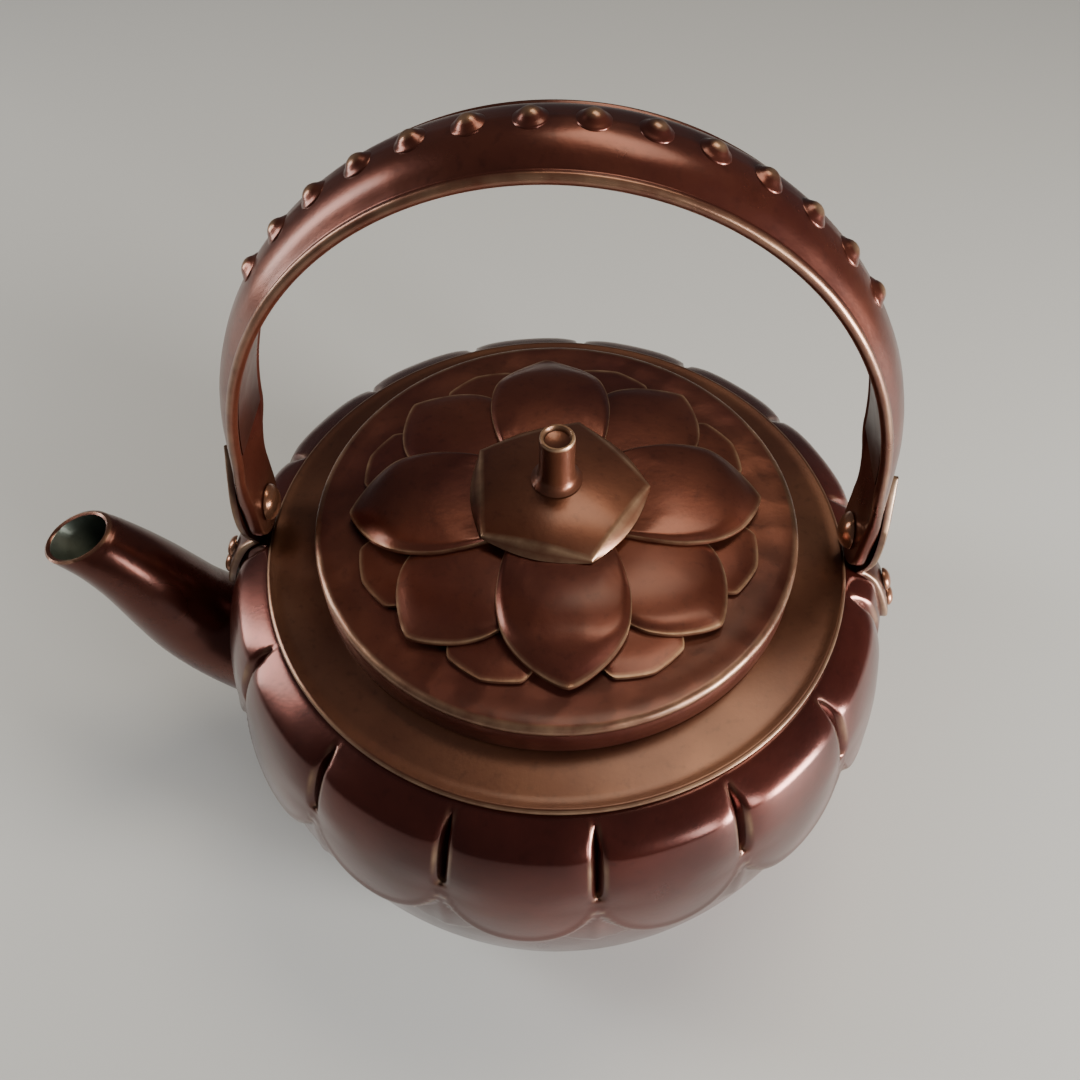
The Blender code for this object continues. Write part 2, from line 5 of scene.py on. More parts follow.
import bmesh
import bpy
import numpy as np
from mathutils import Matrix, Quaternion, Vector


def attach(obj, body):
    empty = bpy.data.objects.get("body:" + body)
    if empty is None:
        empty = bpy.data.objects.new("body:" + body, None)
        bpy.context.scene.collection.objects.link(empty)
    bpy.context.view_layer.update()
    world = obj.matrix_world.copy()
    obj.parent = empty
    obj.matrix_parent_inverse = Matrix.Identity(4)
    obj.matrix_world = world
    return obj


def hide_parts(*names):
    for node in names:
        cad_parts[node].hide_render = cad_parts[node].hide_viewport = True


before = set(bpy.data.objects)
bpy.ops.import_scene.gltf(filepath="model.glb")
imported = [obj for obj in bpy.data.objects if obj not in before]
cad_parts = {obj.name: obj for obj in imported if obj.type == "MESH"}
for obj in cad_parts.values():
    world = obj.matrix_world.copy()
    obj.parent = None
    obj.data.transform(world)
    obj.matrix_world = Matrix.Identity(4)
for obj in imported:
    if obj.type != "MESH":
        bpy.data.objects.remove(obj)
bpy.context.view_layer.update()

MM = 0.001
TAU = 2.0 * math.pi

# body
BASE_R, BELLY_R, BELLY_Z = 56.0, 90.0, 68.0
CREASE_R, CREASE_Z, WALL = 75.2, 109.0, 1.7
PETALS, PETAL_PHASE = 15, math.radians(15.6)
PORT_R = 12.5
MOUTH_R = 57.6
# lid
ROSETTE_R, SHEET, CAP_R, CAP_Z = 52.6, 1.1, 23.4, 134.9
STEM_R, STEM_TOP_Z = 4.4, 150.0
FLOWER_TURN = math.radians(6.2)
PETAL_R = [21.0, 28.0, 35.0, 42.0, 46.5, 50.0, 52.0, 52.6]
PETAL_W = [17.0, 18.0, 18.0, 15.8, 11.6, 6.0, 2.0, 0.0]
# bail
PIVOT_Z, ARCH_A, ARCH_MID_Z, ARCH_TOP_Z = 119.5, 79.5, 140.0, 232.3
LEG_OUT, LEG_IN, THORNS, THORN_STEP = 79.0, 75.5, 14, 8.0
# ears and rivets
EAR_IN, EAR_OUT, PIN_R = 79.5, 81.8, 2.5
RIVET_Z = (97.0, 90.0)
# spout
SPOUT_ROOT_Z, SPOUT_WALL, LIP_SLANT = 51.5, 1.5, 0.56
SPOUT_LINE = [(-89.0, 51.5, 20.0), (-94.5, 52.3, 18.4), (-100.5, 54.9, 16.8),
              (-106.3, 59.4, 15.5), (-111.0, 65.4, 14.5), (-115.0, 72.8, 13.5),
              (-118.8, 80.2, 12.4), (-122.6, 86.6, 11.3), (-126.6, 92.0, 10.4),
              (-130.4, 96.2, 9.7), (-133.6, 99.3, 9.3)]


# ---------------------------------------------------------------- helpers
def smooth_step(t):
    """A smooth step from 0 at t = 0 to 1 at t = 1."""
    t = np.clip(t, 0.0, 1.0)
    return t * t * (3.0 - 2.0 * t)


def spline(points, n):
    """A smooth curve through the points, n steps between neighbours."""
    p = np.array(points, float)
    out = []
    for i in range(len(p) - 1):
        a, b = p[max(0, i - 1)], p[i]
        c, d = p[i + 1], p[min(len(p) - 1, i + 2)]
        for k in range(n):
            t = k / n
            out.append(0.5 * (2 * b + (c - a) * t + (2 * a - 5 * b + 4 * c - d) * t * t
                              + (3 * b - a - 3 * c + d) * t ** 3))
    out.append(p[-1])
    return np.array(out)


def mesh_object(name, verts, faces, mats, wear=None, sharp=35.0, face_mats=None):
    """A smooth-shaded object from millimetre points; edges bent past `sharp` degrees stay crisp."""
    mesh = bpy.data.meshes.new(name)
    mesh.from_pydata((np.array(verts, float) * MM).tolist(), [], [list(f) for f in faces])
    for m in mats:
        mesh.materials.append(m)
    if face_mats is not None:
        mesh.polygons.foreach_set("material_index", np.array(face_mats, dtype=np.int32))
    if wear is not None:
        layer = mesh.attributes.new("wear", 'FLOAT', 'POINT')
        layer.data.foreach_set("value", np.array(wear, dtype=np.float32))
    bm = bmesh.new()
    bm.from_mesh(mesh)
    bmesh.ops.recalc_face_normals(bm, faces=bm.faces)
    limit = math.radians(sharp)
    for f in bm.faces:
        f.smooth = True
    for e in bm.edges:
        if len(e.link_faces) == 2:
            e.smooth = e.calc_face_angle() < limit
    bm.to_mesh(mesh)
    bm.free()
    obj = bpy.data.objects.new(name, mesh)
    bpy.context.scene.collection.objects.link(obj)
    return obj


def loft(rings, closed_path=False, caps=False):
    """Quads between rings of equal length."""
    n = len(rings[0])
    verts = [tuple(p) for ring in rings for p in ring]
    faces = []
    for i in range(len(rings) if closed_path else len(rings) - 1):
        a, b = i * n, ((i + 1) % len(rings)) * n
        for j in range(n):
            k = (j + 1) % n
            faces.append((a + j, a + k, b + k, b + j))
    if caps:
        faces.append(tuple(range(n - 1, -1, -1)))
        faces.append(tuple(range((len(rings) - 1) * n, len(rings) * n)))
    return verts, faces


def turned(profile, count, axis="z", centre=(0.0, 0.0, 0.0), closed=True):
    """Rings of a turned form from (radius, height) points; tiny radii close the poles."""
    rings = []
    for r, h in profile:
        a = TAU * np.arange(count) / count
        r = max(r, 0.01)
        x, y, z = r * np.cos(a), r * np.sin(a), np.full(count, h)
        if axis == "x":
            x, y, z = z, x, y
        rings.append(np.stack([x + centre[0], y + centre[1], z + centre[2]], 1))
    return loft(rings, closed_path=closed, caps=not closed)


def place(obj, body, nodes):
    """Puts a piece on its body, drawn in place of its CAD nodes."""
    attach(obj, body)
    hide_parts(*nodes)
    return obj


# ---------------------------------------------------------------- materials
def patina(name, deep, mid, worn, rough=0.33, facet=95.0, facet_depth=0.35, mottle=22.0):
    """Old copper: clouded red-brown patina, faint hammer facets, edges rubbed brighter."""
    mat = bpy.data.materials.new(name)
    mat.use_nodes = True
    nt = mat.node_tree
    b = nt.nodes["Principled BSDF"]
    b.inputs["Metallic"].default_value = 0.72
    b.inputs["Coat Weight"].default_value = 0.3
    b.inputs["Coat Roughness"].default_value = 0.2
    b.inputs["Coat IOR"].default_value = 1.5
    tc = nt.nodes.new("ShaderNodeTexCoord")

    def noise(scale, detail, rough_in=0.55):
        n = nt.nodes.new("ShaderNodeTexNoise")
        n.inputs["Scale"].default_value = scale
        n.inputs["Detail"].default_value = detail
        n.inputs["Roughness"].default_value = rough_in
        nt.links.new(tc.outputs["Object"], n.inputs["Vector"])
        return n.outputs["Fac"]

    # colour: clouds, then dark specks, then the rubbed edges
    cloud = nt.nodes.new("ShaderNodeValToRGB")
    cloud.color_ramp.elements[0].position = 0.36
    cloud.color_ramp.elements[0].color = (*deep, 1.0)
    cloud.color_ramp.elements[1].position = 0.68
    cloud.color_ramp.elements[1].color = (*mid, 1.0)
    nt.links.new(noise(mottle, 6.0), cloud.inputs["Fac"])
    speck = nt.nodes.new("ShaderNodeValToRGB")
    speck.color_ramp.elements[0].position = 0.56
    speck.color_ramp.elements[0].color = (0.0, 0.0, 0.0, 1.0)
    speck.color_ramp.elements[1].position = 0.78
    speck.color_ramp.elements[1].color = (0.4, 0.4, 0.4, 1.0)
    nt.links.new(noise(420.0, 3.0), speck.inputs["Fac"])
    dark = nt.nodes.new("ShaderNodeMix")
    dark.data_type = 'RGBA'
    dark.inputs["B"].default_value = (deep[0] * 0.45, deep[1] * 0.45, deep[2] * 0.5, 1.0)
    nt.links.new(speck.outputs["Color"], dark.inputs["Factor"])
    nt.links.new(cloud.outputs["Color"], dark.inputs["A"])
    attr = nt.nodes.new("ShaderNodeAttribute")
    attr.attribute_name = "wear"
    rub = nt.nodes.new("ShaderNodeMath")
    rub.operation = 'MULTIPLY'
    grain = nt.nodes.new("ShaderNodeMapRange")
    grain.inputs["From Min"].default_value = 0.3
    grain.inputs["From Max"].default_value = 0.62
    grain.inputs["To Min"].default_value = 0.25
    grain.inputs["To Max"].default_value = 1.0
    nt.links.new(noise(160.0, 4.0), grain.inputs["Value"])
    nt.links.new(attr.outputs["Fac"], rub.inputs[0])
    nt.links.new(grain.outputs["Result"], rub.inputs[1])
    edge = nt.nodes.new("ShaderNodeMix")
    edge.data_type = 'RGBA'
    edge.inputs["B"].default_value = (*worn, 1.0)
    nt.links.new(rub.outputs["Value"], edge.inputs["Factor"])
    nt.links.new(dark.outputs["Result"], edge.inputs["A"])
    nt.links.new(edge.outputs["Result"], b.inputs["Base Color"])
    # roughness, uneven from place to place
    rr = nt.nodes.new("ShaderNodeMapRange")
    rr.inputs["To Min"].default_value = rough - 0.08
    rr.inputs["To Max"].default_value = rough + 0.12
    nt.links.new(noise(60.0, 5.0), rr.inputs["Value"])
    nt.links.new(rr.outputs["Result"], b.inputs["Roughness"])
    # relief: hammer facets under a fine grain
    vor = nt.nodes.new("ShaderNodeTexVoronoi")
    vor.feature = 'SMOOTH_F1'
    vor.inputs["Scale"].default_value = facet
    vor.inputs["Smoothness"].default_value = 0.35
    nt.links.new(tc.outputs["Object"], vor.inputs["Vector"])
    bump = nt.nodes.new("ShaderNodeBump")
    bump.inputs["Strength"].default_value = facet_depth
    bump.inputs["Distance"].default_value = 0.0009
    nt.links.new(vor.outputs["Distance"], bump.inputs["Height"])
    fine = nt.nodes.new("ShaderNodeBump")
    fine.inputs["Strength"].default_value = 0.12
    fine.inputs["Distance"].default_value = 0.00025
    nt.links.new(noise(900.0, 3.0), fine.inputs["Height"])
    nt.links.new(bump.outputs["Normal"], fine.inputs["Normal"])
    nt.links.new(fine.outputs["Normal"], b.inputs["Normal"])
    return mat


DEEP, MID, WORN = (0.062, 0.0125, 0.009), (0.135, 0.036, 0.020), (0.50, 0.34, 0.21)
m_body = patina("copper_body", (0.05, 0.0095, 0.007), (0.105, 0.021, 0.014), WORN, 0.22, 75.0, 0.16)
m_shoulder = patina("copper_shoulder", (0.075, 0.025, 0.014), (0.135, 0.055, 0.029), WORN, 0.33, 60.0, 0.10)
m_lid = patina("copper_lid", DEEP, (0.13, 0.040, 0.022), WORN, 0.36, 120.0, 0.5)
m_petal = patina("copper_petal", (0.075, 0.016, 0.011), (0.155, 0.045, 0.024), WORN, 0.32, 90.0, 0.2)
m_cap = patina("copper_cap", (0.085, 0.025, 0.014), (0.165, 0.060, 0.031), WORN, 0.34, 90.0, 0.2)
m_bail = patina("copper_bail", DEEP, MID, WORN, 0.28, 110.0, 0.2)
m_spout = patina("copper_spout", DEEP, (0.135, 0.035, 0.020), WORN, 0.24, 100.0, 0.15)
# Darker copy of the patina for the spout collar, ears, bail liner and stem washer: painted shade for parts
# that sit in shadow.
m_shade_copper = patina("copper_painted_shade", (0.03, 0.009, 0.007), (0.085, 0.024, 0.016), WORN, 0.38, 110.0, 0.3)
# Lighter copy of the patina for the rivets and pivot pins: a painted highlight standing in for the glints on
# their heads.
m_glint_copper = patina("copper_painted_highlight", (0.17, 0.065, 0.038), (0.34, 0.16, 0.09), WORN, 0.24, 220.0, 0.15)
m_tin = patina("tinned_inside", (0.07, 0.09, 0.075), (0.27, 0.31, 0.27), (0.5, 0.52, 0.47), 0.38, 150.0, 0.3)


# ---------------------------------------------------------------- the bowl
def bowl_profile(n_low, n_high):
    """(radius, height) points up the plain bowl, from the base to the crease."""
    t = np.linspace(0, math.pi / 2, n_low + 1)
    low = np.stack([BASE_R + (BELLY_R - BASE_R) * np.sin(t) ** 0.92,
                    BELLY_Z * (1 - np.cos(t))], 1)
    t = np.linspace(0, math.pi / 2, n_high + 1)[1:]
    tr, tz = CREASE_R + 0.6, CREASE_Z - 1.9
    high = np.stack([tr + (BELLY_R - tr) * np.clip(np.cos(t), 0, 1) ** 1.12,
                     BELLY_Z + (tz - BELLY_Z) * np.sin(t)], 1)
    return np.concatenate([low, high])


BOWL = bowl_profile(24, 24)


def bowl_radius(z):
    return np.interp(z, BOWL[:, 1], BOWL[:, 0])


def petal_relief(a, z):
    """(how far the surface stands out, how rubbed it is) for petals round the body."""
    ph = ((a - PETAL_PHASE) / (TAU / PETALS)) % 1.0
    u = np.abs(2.0 * ph - 1.0)
    end = 66.5 + 21.0 * (1.0 - np.sqrt(np.clip(1.0 - 0.998 * u * u, 0, 1)))
    inside = smooth_step((z - end) / 1.2)
    along = smooth_step((107.3 - z) / 7.0)
    v = 1.0 - u
    high = smooth_step((z - 84.0) / 9.0)
    roll = (1.0 - high) * (1.0 - u ** 2.2) + high * (1.0 - np.clip(u, 0, 1) ** 5.0)
    main = 1.35 + 1.45 * roll + 0.3 * np.exp(-((z - end - 2.4) / 1.6) ** 2)
    lens = smooth_step((z - 85.5) / 4.0) * smooth_step((107.4 - z) / 5.0)
    width = 0.045 + 0.05 * np.sin(math.pi * np.clip((z - 85.5) / 21.3, 0, 1))
    groove = -2.7 * np.clip((width - v) / width, 0, 1) ** 1.15 * lens
    sec_end = 60.5 + 15.0 * v ** 1.35
    second = 1.0 * smooth_step((z - sec_end) / 1.1) * (1.0 - smooth_step((v - 0.5) / 0.2))
    second = second + 0.5 * np.exp(-(v / 0.10) ** 2) * smooth_step((z - sec_end - 1.0) / 3.0)
    rel = inside * (main * along + groove) + (1.0 - inside) * second
    rel = np.where((z > CREASE_Z - 2.0) | (z < 30.0), 0.0, rel)
    side = np.abs((a % TAU) - math.pi)
    fade = smooth_step((np.hypot(side * BELLY_R, z - SPOUT_ROOT_Z) - 26.0) / 6.0)
    rub = 0.5 * np.exp(-((z - end - 1.2) / 0.55) ** 2) * along
    rub = rub + 0.5 * np.exp(-((v - width) / 0.012) ** 2) * lens * inside
    rub = rub + 0.4 * np.exp(-((z - sec_end - 1.1) / 0.5) ** 2) * (1 - inside) * (v < 0.5)
    return rel * fade, np.clip(rub * fade, 0, 1)


def build_body():
    count = PETALS * 40
    prof = bowl_profile(150, 130)
    tan = np.gradient(prof, axis=0)
    tan /= np.linalg.norm(tan, axis=1)[:, None]
    nor = np.stack([tan[:, 1], -tan[:, 0]], 1)
    nor[0] = (0.0, -1.0)
    a = PETAL_PHASE + TAU * np.arange(count) / count
    outer, inner, wo = [], [], []
    for i, (r, z) in enumerate(prof):
        d, rub = petal_relief(a, np.full(count, z))
        ro, zo = r + nor[i, 0] * d, z + nor[i, 1] * d
        outer.append(np.stack([ro * np.cos(a), ro * np.sin(a), zo], 1))
        wo.append(rub)
        if i == 0:
            ri, zi = np.full(count, r - 1.0), np.full(count, WALL)
        else:
            ri, zi = r + nor[i, 0] * (0.75 * d - WALL), z + nor[i, 1] * (0.75 * d - WALL)
        inner.append(np.stack([ri * np.cos(a), ri * np.sin(a), np.maximum(zi, WALL)], 1))
    top = prof[-1, 1]

    def flat(r, z):
        return np.stack([r * np.cos(a), r * np.sin(a), np.full(count, z)], 1)

    rings = outer + [flat(CREASE_R - 1.2, top + 0.25), flat(67.5, top + 0.3),
                     flat(67.5, top - WALL + 0.3), flat(CREASE_R - 1.6, top - WALL + 0.1)]
    back = inner[:-4:4][::-1]
    n_out = len(rings)
    rings += back
    verts, faces = loft(rings)
    wear = np.concatenate(wo + [np.zeros(count)] * (len(rings) - len(outer)))
    fm = [0 if k < (n_out - 1) * count else 1 for k in range(len(faces))]
    last = (len(rings) - 1) * count
    verts += [(0.0, 0.0, 0.0), (0.0, 0.0, WALL)]
    wear = np.concatenate([wear, [0.0, 0.0]])
    for k in range(count):
        j = (k + 1) % count
        faces.append((len(verts) - 2, j, k))
        faces.append((len(verts) - 1, last + k, last + j))
        fm += [0, 1]
    V = np.array(verts)
    keep = []
    for i, f in enumerate(faces):
        c = V[list(f)].mean(0)
        keep.append(not (c[0] < -60 and math.hypot(c[1], c[2] - SPOUT_ROOT_Z) < PORT_R))
    faces = [f for f, k in zip(faces, keep) if k]
    fm = [m for m, k in zip(fm, keep) if k]
    return mesh_object("kettle_body", verts, faces, [m_body, m_tin], wear, 50.0, fm)


place(build_body(), "vessel", ["body_shell"])


def build_shoulder():
    top = CREASE_Z - 1.9
    roll = []
    for k in range(15):
        t = -0.5 * math.pi + math.pi * k / 14.0
        line = 0.07 * math.cos(10.0 * t)
        roll.append((CREASE_R - 0.1 + (1.1 + line) * math.cos(t), top + 1.5 + 0.86 * math.sin(t)))
    prof = [(MOUTH_R, 98.0), (MOUTH_R + 1.5, 98.0), (MOUTH_R + 1.5, 107.4), (61.0, 108.3),
            (66.5, top + 0.95), (73.6, top + 0.64)] + roll
    prof += [(74.2, 109.22), (72.0, 109.42), (67.5, 109.75), (63.5, 110.12), (60.6, 110.35),
             (59.2, 110.4), (58.4, 110.1), (57.8, 109.5), (MOUTH_R, 108.6)]
    n = 240
    v, f = turned(prof, n)
    wear = []
    for i, (r, z) in enumerate(prof):
        wear += [0.3 if 6 <= i <= 20 and r > CREASE_R + 0.5 else 0.0] * n
    return mesh_object("kettle_shoulder", v, f, [m_shoulder], wear, 40.0)


place(build_shoulder(), "vessel", ["shoulder_plate"])


# ---------------------------------------------------------------- the spout
def surface_x(y, z):
    r = bowl_radius(z)
    return -np.sqrt(np.maximum(1.0, r * r - y * y))


def build_spout():
    per, seg = 9, 72
    line = spline(SPOUT_LINE, per)
    d = np.gradient(line[:, :2], axis=0)
    d /= np.linalg.norm(d, axis=1)[:, None]
    a = TAU * np.arange(seg) / seg
    outer, inner = [], []
    for i, (cx, cz, rad) in enumerate(line):
        t = min(1.0, i / per)
        for ring, r in ((outer, rad), (inner, rad - SPOUT_WALL)):
            y, h = r * np.cos(a), r * np.sin(a)
            x, z = cx + d[i, 1] * h, cz - d[i, 0] * h
            if i == 0:
                x = surface_x(y, z) - 0.65
            else:
                x = np.minimum(x, surface_x(y, z) - 0.65 - 1.95 * t)
            w = smooth_step((i - (len(line) - 1 - per * 1.5)) / (per * 1.5))
            x = x - d[i, 0] * h * LIP_SLANT * w
            z = z - d[i, 1] * h * LIP_SLANT * w
            ring.append(np.stack([x, y, z], 1))
    lip = 0.5 * (outer[-1] + inner[-1])
    lip[:, 0] += d[-1, 0] * 0.45
    lip[:, 2] += d[-1, 1] * 0.45
    rings = outer + [lip] + inner[::-1]
    v, f = loft(rings, closed_path=True)
    fm = [0 if k // seg <= len(outer) else 1 for k in range(len(f))]
    wear = np.zeros((len(rings), seg))
    wear[len(outer) - 1:len(outer) + 1] = 0.2
    return mesh_object("kettle_spout", v, f, [m_spout, m_tin], wear.ravel(), 50.0, fm)


place(build_spout(), "vessel", ["spout"])


def build_collar():
    seg, root = 96, SPOUT_LINE[0][2]
    a = TAU * np.arange(seg) / seg
    rings = []
    for rad, off in ((root + 0.35, 0.75), (root + 3.2, 0.75), (root + 3.3, 1.05), (root + 2.9, 1.5),
                     (root + 2.0, 1.95), (root + 1.2, 2.1), (root + 0.45, 2.0)):
        y, z = rad * np.cos(a), SPOUT_ROOT_Z + rad * np.sin(a)
        rings.append(np.stack([surface_x(y, z) - off, y, z], 1))
    v, f = loft(rings, closed_path=True)
    # the collar's darker copper is painted shade at the spout's root
    return mesh_object("kettle_spout_collar", v, f, [m_shade_copper], None, 50.0)


place(build_collar(), "vessel", ["spout_collar"])


# ---------------------------------------------------------------- ears, rivets and pins
EAR_LINE = spline([(86.0, 1.6), (87.2, 4.4), (90.0, 6.0), (95.0, 6.4), (100.0, 5.4), (104.0, 4.4),
                   (107.5, 4.6), (112.0, 7.0), (118.0, 9.4), (124.0, 9.7), (130.0, 8.1),
                   (136.0, 4.6), (139.5, 1.9), (141.0, 0.5)], 6)


def build_ear(label, side):
    rings, wear = [], []
    for z, w in EAR_LINE:
        foot = bowl_radius(min(z, 107.0)) + 2.5
        t = smooth_step((z - 103.0) / 10.0)
        inner = max(EAR_IN, (1 - t) * foot + t * EAR_IN)
        outer = inner + EAR_OUT - EAR_IN
        ring = []
        for u, x, k in ((-1, inner, 0), (-0.5, inner, 0), (0, inner, 0), (0.5, inner, 0), (1, inner, 0),
                        (1, outer - 0.9, 1), (0.95, outer - 0.45, 1), (0.82, outer - 0.15, 0.5),
                        (0.6, outer, 0), (0, outer + 0.1, 0), (-0.6, outer, 0),
                        (-0.82, outer - 0.15, 0.5), (-0.95, outer - 0.45, 1), (-1, outer - 0.9, 1)):
            ring.append((side * x, u * w, z))
            wear.append(0.4 * k)
        rings.append(ring)
    v, f = loft(rings, caps=True)
    # the ear's darker copper is painted shade
    return mesh_object("kettle_ear_" + label, v, f, [m_shade_copper], wear, 40.0)


RIVET = [(0.0, -3.3), (1.5, -3.2), (2.6, -3.0), (3.0, -2.1), (1.45, -2.1), (1.45, 4.75),
         (3.0, 4.75), (3.0, 5.1), (2.7, 5.6), (2.1, 6.05), (1.2, 6.35), (0.0, 6.45)]


def build_rivet(name, side, z):
    """A rivet through the ear's foot and the bowl, square to the bowl's slope."""
    rivet, f = turned(RIVET, 32, closed=False)
    slope = math.atan2(bowl_radius(z - 2.0) - bowl_radius(z + 2.0), 4.0)
    ca, sa = math.cos(slope), math.sin(slope)
    v = [(side * (bowl_radius(z) + ca * h - sa * x), y, z + sa * h + ca * x) for x, y, h in rivet]
    # the rivet's lighter copper is a painted highlight
    return mesh_object("kettle_" + name, v, f, [m_glint_copper], None, 40.0)


def build_pin(name, side):
    """A pivot pin with a domed head inside the bail's leg and one outside the ear."""
    head, out = LEG_IN - 0.3, EAR_OUT + 0.3
    prof = [(0.0, head - 2.9), (1.3, head - 2.8), (2.6, head - 2.45), (3.7, head - 1.85),
            (4.5, head - 1.0), (4.9, head - 0.3), (4.9, head), (PIN_R, head), (PIN_R, out),
            (4.0, out), (3.95, out + 0.5), (3.5, out + 1.0), (2.5, out + 1.4), (1.3, out + 1.65),
            (0.0, out + 1.7)]
    v, f = turned([(r, side * h) for r, h in prof], 40, "x", (0.0, 0.0, PIVOT_Z), False)
    # the pin's lighter copper is a painted highlight
    return mesh_object("kettle_" + name, v, f, [m_glint_copper], None, 40.0)


for label, side in (("left", -1.0), ("right", 1.0)):
    place(build_ear(label, side), "vessel", ["ear_" + label])
    for i, z in enumerate(RIVET_Z):
        name = "ear_rivet_%s_%d" % (label, i + 1)
        place(build_rivet(name, side, z), "vessel", [name])
    name = "pivot_pin_" + label
    place(build_pin(name, side), "vessel", [name])


# ---------------------------------------------------------------- the bail
def bail_path(n):
    """Points up one leg, over the arch and down the other, each with its outward normal."""
    half = [(-LEG_OUT, PIVOT_Z - 8.4 + q) for q in (0.0, 0.1, 0.3, 0.7, 1.2, 2.0, 3.0, 4.4, 6.2, 8.4)]
    half += [(-LEG_OUT, PIVOT_Z + q) for q in (2.5, 5.0, 7.5)]
    half += [(-LEG_OUT - 0.1, PIVOT_Z + 10.0), (-LEG_OUT - 0.2, PIVOT_Z + 12.5),
             (-LEG_OUT - 0.3, PIVOT_Z + 15.0), (-LEG_OUT - 0.42, PIVOT_Z + 18.0)]
    b = ARCH_TOP_Z - ARCH_MID_Z
    for i in range(n + 1):
        t = (i / n) * math.pi / 2.0
        half.append((-ARCH_A * math.cos(t), ARCH_MID_Z + b * math.sin(t)))
    path = np.array(half + [(-x, z) for x, z in half[-2::-1]])
    d = np.gradient(path, axis=0)
    d /= np.linalg.norm(d, axis=1)[:, None]
    out = []
    for (x, z), t in zip(path, d):
        nrm = np.array((-t[1], t[0]))
        if z < ARCH_MID_Z:
            nrm = np.array((math.copysign(1.0, x), 0.0))
        out.append(((x, z), nrm))
    return out


# half of the band's section, (across, out): domed and beaded on the arch, flat at its ends
OPEN = [(0.0, 0.0), (3.6, -0.45), (6.8, -1.7), (9.3, -3.5), (10.0, -3.9), (11.0, -3.6),
        (11.9, -4.4), (11.8, -5.5), (10.8, -6.2), (9.6, -5.8), (8.9, -4.9), (6.4, -3.1),
        (3.4, -2.0), (0.0, -1.6)]
FLAT = [(0.0, 0.0), (3.6, 0.0), (6.4, 0.0), (8.2, -0.15), (8.6, -0.25), (8.9, -0.5),
        (9.2, -1.2), (9.2, -2.3), (8.9, -3.0), (8.5, -3.4), (7.8, -3.5), (5.6, -3.5),
        (3.0, -3.5), (0.0, -3.5)]


def build_bail():
    so, sf = spline(OPEN, 4), spline(FLAT, 4)
    rings, wear = [], []
    for c, nrm in bail_path(80):
        z = c[1]
        m = 1.0 - smooth_step((z - (PIVOT_Z + 8.0)) / 22.0)
        w = 1.0
        if z < PIVOT_Z:
            t = (z - PIVOT_Z) / 8.4
            w = max(0.16, math.sqrt(max(0.0, 1.0 - t * t)))
        sec = (1 - m) * so + m * sf
        half = [(u * w, v, i / 4.0) for i, (u, v) in enumerate(sec)]
        full = half + [(-u, v, i) for u, v, i in half[-2:0:-1]]
        rings.append([(c[0] + nrm[0] * v, u, c[1] + nrm[1] * v) for u, v, i in full])
        wear += [0.3 * (1 - m) * math.exp(-((i - 5.8) / 0.8) ** 2) for u, v, i in full]
    v, f = loft(rings, caps=True)
    return mesh_object("kettle_bail", v, f, [m_bail], wear, 45.0)


place(build_bail(), "bail", ["bail_crown"])

LINER = [(-8.4, -5.2), (0.0, -5.05), (8.4, -5.2), (8.9, -5.5), (9.1, -6.0),
         (0.0, -6.0), (-9.1, -6.0), (-8.9, -5.5)]


def build_liner():
    """The strip inside the arch, clear of the legs."""
    rings = [[(c[0] + nrm[0] * v, u, c[1] + nrm[1] * v) for u, v in LINER]
             for c, nrm in bail_path(80) if c[1] >= ARCH_MID_Z + 8.0]
    v, f = loft(rings, caps=True)
    # the liner's darker copper is painted shade under the arch
    return mesh_object("kettle_bail_liner", v, f, [m_shade_copper], None, 45.0)


place(build_liner(), "bail", ["bail_liner"])

THORN = [(0.0, -0.6), (3.4, -0.6), (3.4, -0.25), (3.1, -0.02), (2.7, 0.2), (2.3, 0.5),
         (1.9, 0.88), (1.45, 1.22), (0.9, 1.48), (0.4, 1.58), (0.0, 1.6)]


def build_thorn(name, index):
    """A blunt thorn standing square to the arch's crest."""
    t = math.radians(90.0 + (index - (THORNS - 1) / 2.0) * THORN_STEP)
    b = ARCH_TOP_Z - ARCH_MID_Z
    x, z = ARCH_A * math.cos(t), ARCH_MID_Z + b * math.sin(t)
    nx, nz = math.cos(t) / ARCH_A, math.sin(t) / b
    k = math.hypot(nx, nz)
    nx, nz = nx / k, nz / k
    upright, f = turned(THORN, 28, closed=False)
    v = [(x + nx * pz + nz * px, py, z + nz * pz - nx * px) for px, py, pz in upright]
    wear = [0.55 * float(smooth_step((p[2] - 0.9) / 0.7)) for p in upright]
    return mesh_object("kettle_" + name, v, f, [m_bail], wear, 60.0)


for index in range(THORNS):
    name = "thorn_%02d" % (index + 1)
    place(build_thorn(name, index), "bail", [name])


# ---------------------------------------------------------------- the lid
def rosette_base(r):
    """The top of the flower's lowest sheet, before its own relief."""
    return 124.4 - 2.0 * (r / ROSETTE_R) ** 2


def build_lid_disc():
    seg = 240
    prof = [(r, rosette_base(r) - 1.45) for r in (3.0, 12.0, 20.0, 28.0, 36.0, 44.0, 52.8)]
    prof += [(54.5, 121.0), (57.5, 120.95), (60.0, 120.95), (60.9, 120.8), (61.5, 120.45),
             (61.85, 119.95), (62.0, 119.4), (62.0, 118.9), (61.8, 118.5), (61.8, 118.1),
             (62.0, 117.7), (62.0, 111.3), (61.8, 110.85), (61.4, 110.7), (60.4, 110.7),
             (60.4, 118.6), (57.5, 119.35)]
    prof += [(r, rosette_base(r) - 2.95) for r in (52.8, 36.0, 20.0, 3.0)]
    v, f = turned(prof, seg)
    wear = []
    for r, z in prof:
        wear += [0.3 if r > 60.5 and 118.9 < z < 120.9 else 0.0] * seg
    return mesh_object("kettle_lid", v, f, [m_lid], wear, 40.0)


place(build_lid_disc(), "lid", ["lid_disc"])


